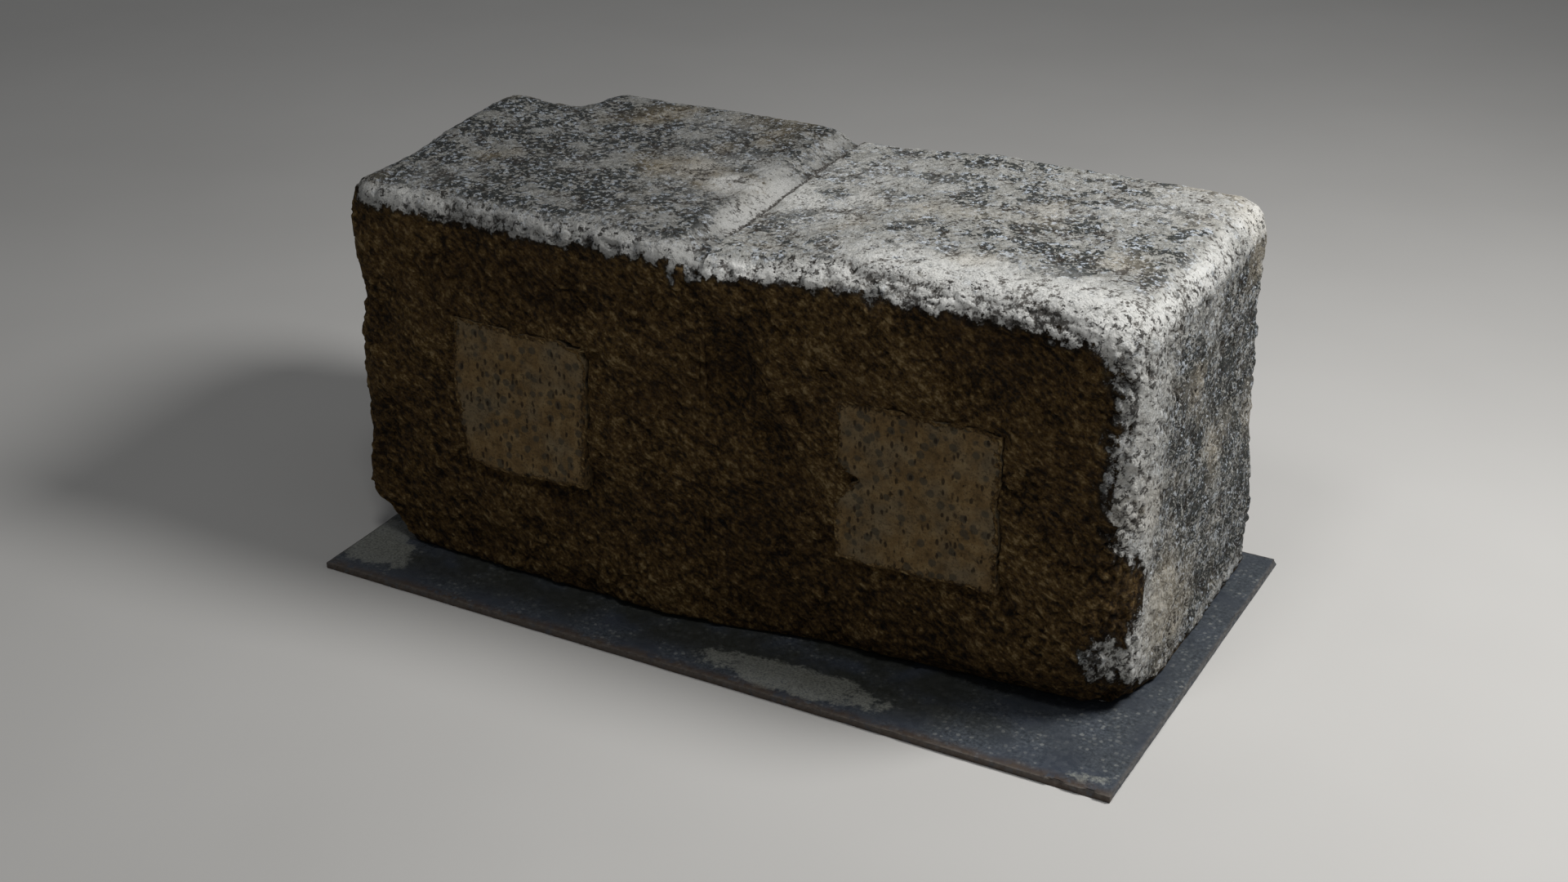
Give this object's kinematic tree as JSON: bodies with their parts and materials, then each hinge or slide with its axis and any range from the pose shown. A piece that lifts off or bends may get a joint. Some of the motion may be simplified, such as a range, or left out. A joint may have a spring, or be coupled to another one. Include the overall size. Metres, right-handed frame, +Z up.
{
  "type": "granite slab",
  "caption": "Heavy work slab: rough-hewn granite blocks end to end on a thin dark stone base slab, with a mortared joint and square mortar-filled sockets in the front.",
  "frame": {"origin": "centre of the base slab's underside", "axes": "+X along the blocks, to the right seen from the front; +Y from the front to the back; +Z up"},
  "size_m": [1.2, 0.65, 0.5762],
  "materials": {
    "slab_stone": "honed dark blue-grey stone, finely mottled, lime stains",
    "left_granite": "rough-hewn grey granite, brown weathered front",
    "right_granite": "rough-hewn pale grey granite, brown weathered front",
    "joint_mortar": "troweled pale lime mortar",
    "plug_mortar": "smooth brown-grey mortar with dark aggregate"
  },
  "bodies": {
    "root": {"base_slab": "slab_stone", "left_block": "left_granite", "right_block": "right_granite", "joint_mortar": "joint_mortar", "left_socket_plug": "plug_mortar", "right_socket_plug": "plug_mortar"}
  },
  "joints": []
}
